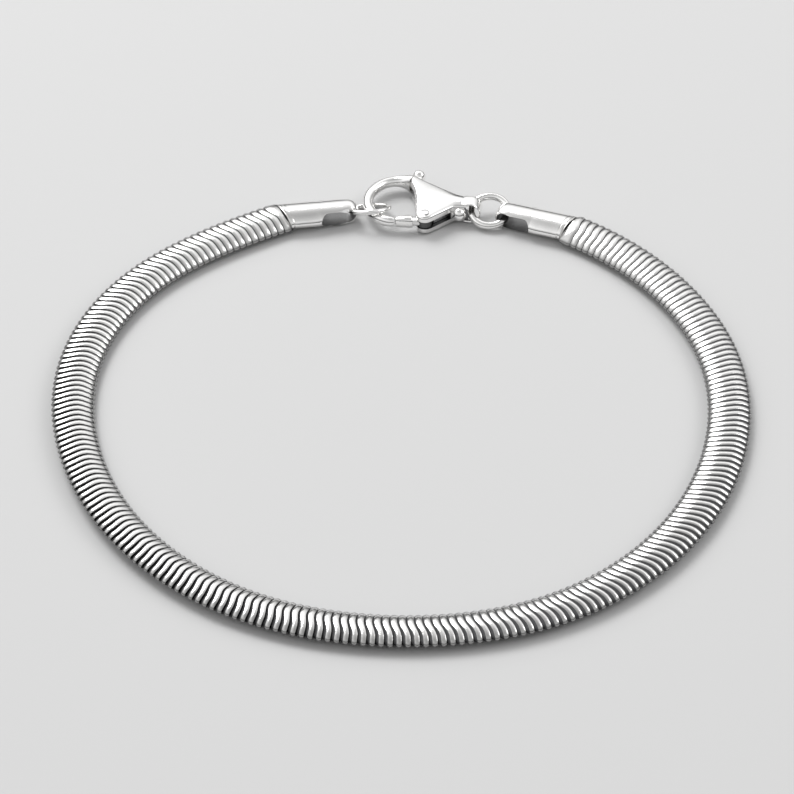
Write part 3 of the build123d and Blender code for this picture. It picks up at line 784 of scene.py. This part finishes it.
class BRACELET_OT_clasp(bpy.types.Operator):
    """Build the clasp's body"""
    bl_idname = "bracelet.clasp"
    bl_label = "Clasp body"

    def execute(self, context):
        clasp = context.scene.bracelet_clasp
        finish = context.scene.bracelet_finish
        # The cheeks' corners: the tail's far side, the shoulder and the hook's root, the round boss at
        # the pin, and the tail's near side
        boss_radius, boss_turn = 0.85, np.radians([180, 205, 230, 255, 280, 305, 318])
        corners = np.concatenate([
            [(-0.15, 0.8), (-1.5, 1.08), (-5.2, 3.0), (-6.35, 3.75), (-6.3, 2.5), (-5.7, 1.2)],
            np.array(PIVOT) + boss_radius * np.stack([np.cos(boss_turn), np.sin(boss_turn)], axis=1),
            [(-1.5, -1.08), (-0.15, -0.8)]])
        rounds = [0.05, 0.9, 2.2, 0.3, 0.25, 1.2] + [0.15] * len(boss_turn) + [0.9, 0.05]
        cheek = cheek_rows(rounded_outline(corners, rounds, 110), clasp)
        upper = cheek + np.array([0, 0, clasp.thickness - clasp.cheek])
        lower = cheek * np.array([1, 1, -1]) + np.array([0, 0, clasp.cheek])
        # The cores fill the slot at the hook's root and at the tail, and reach a little into the cheeks
        overlap = 0.02
        core_low, core_high = clasp.cheek - overlap, clasp.thickness - clasp.cheek + overlap
        hook_core = prism([(-4.7, -1.95), (-5.9, 3.42), (-6.3, 3.68), (-6.25, 2.5), (-5.68, 1.2),
                           (-5.07, -1.92)], core_low, core_high)
        tail_core = prism([(-0.87, -0.76), (-0.87, 0.74), (-1.5, 1.03), (-3.25, 1.94), (-3.58, -1.85),
                           (-2.48, -0.64), (-1.74, -1.3), (-1.5, -1.03)], core_low, core_high)
        ball_radius = 0.7
        ball = ball_rows((-0.98, -1.0, clasp.thickness / 2), ball_radius, ball_radius)
        verts, faces = join_grids([
            (upper, False, False), (lower, True, False), (hook_core, False, False), (tail_core, False, False),
            (hook_rows(clasp), True, False), (ball, False, False), (eye_rows(clasp), True, True)])
        # The faces in the slot are coloured dark as painted shade: the cheeks' inner faces and the cores'
        # inner walls
        rows, columns = cheek.shape[:2]
        cheek_inside_shade = [1] * columns + [0] * (rows - 2) * columns + [1, 0]
        inside_shade_faces = 2 * cheek_inside_shade + [1, 0, 0, 0, 0, 1, 1, 1] + [0, 0, 0, 1, 1, 1, 0, 0, 1, 1]
        inside_shade_faces += [0] * (len(faces) - len(inside_shade_faces))
        looks = [polished("clasp_silver_look", finish), painted_inside_shade("clasp_inside_shade_look", finish)]
        piece = add_mesh("clasp_shell", laid(verts, TAIL_EYE, clasp.turn), faces, looks, inside_shade_faces)
        split_at(piece.data, 45)
        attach(piece, "bracelet")
        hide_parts("clasp_body")
        return {"FINISHED"}


class BRACELET_OT_lever(bpy.types.Operator):
    """Build the clasp's lever"""
    bl_idname = "bracelet.lever"
    bl_label = "Clasp lever"

    def execute(self, context):
        clasp = context.scene.bracelet_clasp
        finish = context.scene.bracelet_finish
        level, slim = clasp.thickness / 2, clasp.lever / 2
        # The gate's half widths and half heights at distances from the pivot: past the hub it steps up
        along = np.array([0.35, 1.18, 1.2, 1.24, 1.32, 2.0, 2.72, 2.82, 2.86])
        wide = np.array([0.48, 0.5, 0.52, 0.54, 0.54, 0.45, 0.36, 0.32, 0.24])
        high = np.array([slim, slim, 0.48, 0.56, 0.6, 0.57, 0.52, 0.47, 0.38])
        gate = flat_bar(PIVOT, clasp.gate_turn, along, wide, high, level, 3.0)
        # The arm's direction in the clasp's plan, and how far off the thumb tab's middle is
        arm_turn, arm_length, arm_half_width = math.radians(103), 7.45, 0.31
        along = np.array([0.55, 2.0, 4.0, 6.0, arm_length - 0.25])
        arm = flat_bar(PIVOT, arm_turn, along, np.full(5, arm_half_width), np.full(5, slim), level, 4.0)
        tab_place = np.array(PIVOT) + arm_length * np.array([math.cos(arm_turn), math.sin(arm_turn)])
        tab_half_width, tab_half_height = 0.65, 0.62
        tab = ball_rows((*tab_place, level), tab_half_width, tab_half_height)
        hub_bore, hub_radius = 0.44, 0.72
        hub = ring_prism(PIVOT, hub_bore, hub_radius, level - slim, level + slim)
        verts, faces = join_grids([(hub, False, True), (gate, False, False), (arm, False, False),
                                   (tab, False, False)])
        # The hub's faces, down in the slot, get the dark painted shade
        on_hub = (np.arange(len(faces)) < hub.shape[0] * hub.shape[1]).astype(int)
        looks = [polished("lever_silver_look", finish), painted_inside_shade("lever_hub_shade_look", finish)]
        piece = add_mesh("lever_shell", laid(verts, TAIL_EYE, clasp.turn), faces, looks, on_hub)
        split_at(piece.data, 45)
        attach(piece, "lever")
        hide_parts("clasp_lever")
        return {"FINISHED"}


class BRACELET_OT_pin(bpy.types.Operator):
    """Build the clasp's pin, its ends low domes with a seam round each, coloured dark as painted shade"""
    bl_idname = "bracelet.pin"
    bl_label = "Clasp pin"

    def execute(self, context):
        clasp = context.scene.bracelet_clasp
        finish = context.scene.bracelet_finish
        level, columns = clasp.thickness / 2, 32
        turn = np.arange(columns) / columns * 2 * np.pi
        # A dome's rows: shares of the pin's radius, and heights above the clasp's middle
        share = np.array([0.05, 0.5, 0.85, 1.0])
        height = level - 0.005 - np.array([0.0, 0.004, 0.012, 0.03])
        radius = clasp.pin_radius * np.concatenate([share, share[::-1]])[:, None]
        rise = np.concatenate([-height, height[::-1]])[:, None] + level
        pin = np.stack(np.broadcast_arrays(
            PIVOT[0] + radius * np.cos(turn), PIVOT[1] + radius * np.sin(turn), rise), axis=-1)
        # The seams are thin rings that start just below the clasp's faces, coloured dark as painted shade
        sunk, depth = 0.02, 0.3
        seams = [ring_prism(PIVOT, clasp.pin_radius - 0.02, clasp.pin_radius + 0.012, low, high)
                 for low, high in ((sunk, depth), (clasp.thickness - depth, clasp.thickness - sunk))]
        verts, faces = join_grids([(pin, False, False), (seams[0], False, True), (seams[1], False, True)])
        pin_faces = (len(pin) - 1) * columns + 2
        painted_shade_faces = (np.arange(len(faces)) >= pin_faces).astype(int)
        looks = [polished("pin_silver_look", finish),
                 metal("pin_seam_painted_shade_look", finish.painted_gap_shade, GAP_ROUGHNESS, FITTING_GRAIN, PAINTED_SHADE_RELIEF)]
        piece = add_mesh("pin_shell", laid(verts, TAIL_EYE, clasp.turn), faces, looks, painted_shade_faces)
        split_at(piece.data, 45)
        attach(piece, "bracelet")
        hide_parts("clasp_pin")
        return {"FINISHED"}


class BRACELET_OT_fittings(bpy.types.Operator):
    """Give the two rings their silver and the spring leaf its steel"""
    bl_idname = "bracelet.fittings"
    bl_label = "Rings and spring"

    def execute(self, context):
        finish = context.scene.bracelet_finish
        silver = polished("fitting_silver_look", finish)
        steel = metal("spring_steel_look", finish.steel, STEEL_ROUGHNESS, FITTING_GRAIN, FITTING_RELIEF)
        for name, look in (("catch_ring", silver), ("jump_ring", silver), ("clasp_spring", steel)):
            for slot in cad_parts[name].material_slots:
                slot.link = "OBJECT"
                slot.material = look
        return {"FINISHED"}


# The stage

class BRACELET_OT_stage(bpy.types.Operator):
    """Lay the floor, light it softly and set the camera"""
    bl_idname = "bracelet.stage"
    bl_label = "Stage"

    def execute(self, context):
        stage = context.scene.bracelet_stage
        scene = context.scene
        material, _, shader = new_material("floor_look")
        shader.inputs["Base Color"].default_value = (*stage.floor_colour, 1)
        shader.inputs["Roughness"].default_value = 0.9
        corners = FLOOR_REACH * np.array([(-1, -1), (1, -1), (1, 1), (-1, 1)])
        floor = add_mesh("floor", np.insert(corners, 2, FLOOR_LEVEL, axis=1), [[0, 1, 2, 3]], [material],
                         smooth=False)
        self.light_world(scene)
        for light in LIGHTS:
            self.add_light(*light)
        data = bpy.data.cameras.new("camera")
        camera = bpy.data.objects.new("camera", data)
        scene.collection.objects.link(camera)
        data.lens = stage.lens
        data.sensor_width = 36.0
        data.clip_start = 0.01
        away = np.array([0, -math.cos(stage.elevation), math.sin(stage.elevation)])
        camera.location = np.array(CAMERA_TARGET) * MM + stage.distance * away
        camera.rotation_euler = (math.pi / 2 - stage.elevation, 0, 0)
        scene.camera = camera
        scene.view_settings.view_transform = "Standard"
        return {"FINISHED"}

    def light_world(self, scene):
        """A sky whose grey changes with height, and which is brighter on one side."""
        world = bpy.data.worlds.new("studio")
        scene.world = world
        world.use_nodes = True
        tree = world.node_tree
        place = add_node(tree, "TexCoord", {}).outputs["Generated"]
        height = add_node(tree, "SeparateXYZ", {"Vector": place}).outputs["Z"]
        sky = add_node(tree, "ValToRGB", {"Fac": height})
        stops = sky.color_ramp.elements
        while len(stops) < len(SKY):
            stops.new(0.5)
        for stop, (position, grey) in zip(stops, SKY):
            stop.position = position
            stop.color = (grey, grey, grey, 1)
        side = add_node(tree, "VectorMath", {0: place, 1: BRIGHT_SIDE}, operation="DOT_PRODUCT")
        brighter = add_range(tree, side.outputs["Value"], (-0.4, 0.8), (0.85, 1.4),
                             interpolation_type="SMOOTHSTEP")
        background = tree.nodes["Background"].inputs
        background["Strength"].default_value = 1.0
        tree.links.new(add_product(tree, sky.outputs["Color"], brighter), background["Color"])

    def add_light(self, name, place, size, power):
        """A square soft light that faces the bracelet."""
        data = bpy.data.lights.new(name, "AREA")
        data.energy = power
        data.size = size
        lamp = bpy.data.objects.new(name, data)
        bpy.context.scene.collection.objects.link(lamp)
        lamp.location = place
        direction = np.array(place) / np.linalg.norm(place)
        heading = math.atan2(direction[1], direction[0])
        lamp.rotation_euler = (math.acos(direction[2]), 0, heading + math.pi / 2)


# The panel, and the run

class BRACELET_PT_panel(bpy.types.Panel):
    """The bracelet's operators and settings"""
    bl_label = "Snake chain bracelet"
    bl_idname = "BRACELET_PT_panel"
    bl_space_type = "VIEW_3D"
    bl_region_type = "UI"
    bl_category = "Bracelet"

    def draw(self, context):
        layout = self.layout
        for operator in OPERATORS:
            layout.operator(operator.bl_idname)
        for name, group in SETTINGS.items():
            box = layout.box()
            for setting in group.__annotations__:
                box.prop(getattr(context.scene, name), setting)


SETTINGS = {
    "bracelet_chain": ChainSizes,
    "bracelet_caps": CapSizes,
    "bracelet_clasp": ClaspSizes,
    "bracelet_finish": Finishes,
    "bracelet_stage": StageSettings,
}
OPERATORS = (BRACELET_OT_chain, BRACELET_OT_caps, BRACELET_OT_clasp, BRACELET_OT_lever,
             BRACELET_OT_pin, BRACELET_OT_fittings, BRACELET_OT_stage)
CLASSES = (*SETTINGS.values(), *OPERATORS, BRACELET_PT_panel)


def register():
    for item in CLASSES:
        bpy.utils.register_class(item)
    for name, group in SETTINGS.items():
        setattr(bpy.types.Scene, name, PointerProperty(type=group))


def unregister():
    for name in SETTINGS:
        delattr(bpy.types.Scene, name)
    for item in reversed(CLASSES):
        bpy.utils.unregister_class(item)


def main():
    register()
    bpy.ops.bracelet.chain()
    bpy.ops.bracelet.caps()
    bpy.ops.bracelet.clasp()
    bpy.ops.bracelet.lever()
    bpy.ops.bracelet.pin()
    bpy.ops.bracelet.fittings()
    bpy.ops.bracelet.stage()


if __name__ == "__main__":
    main()
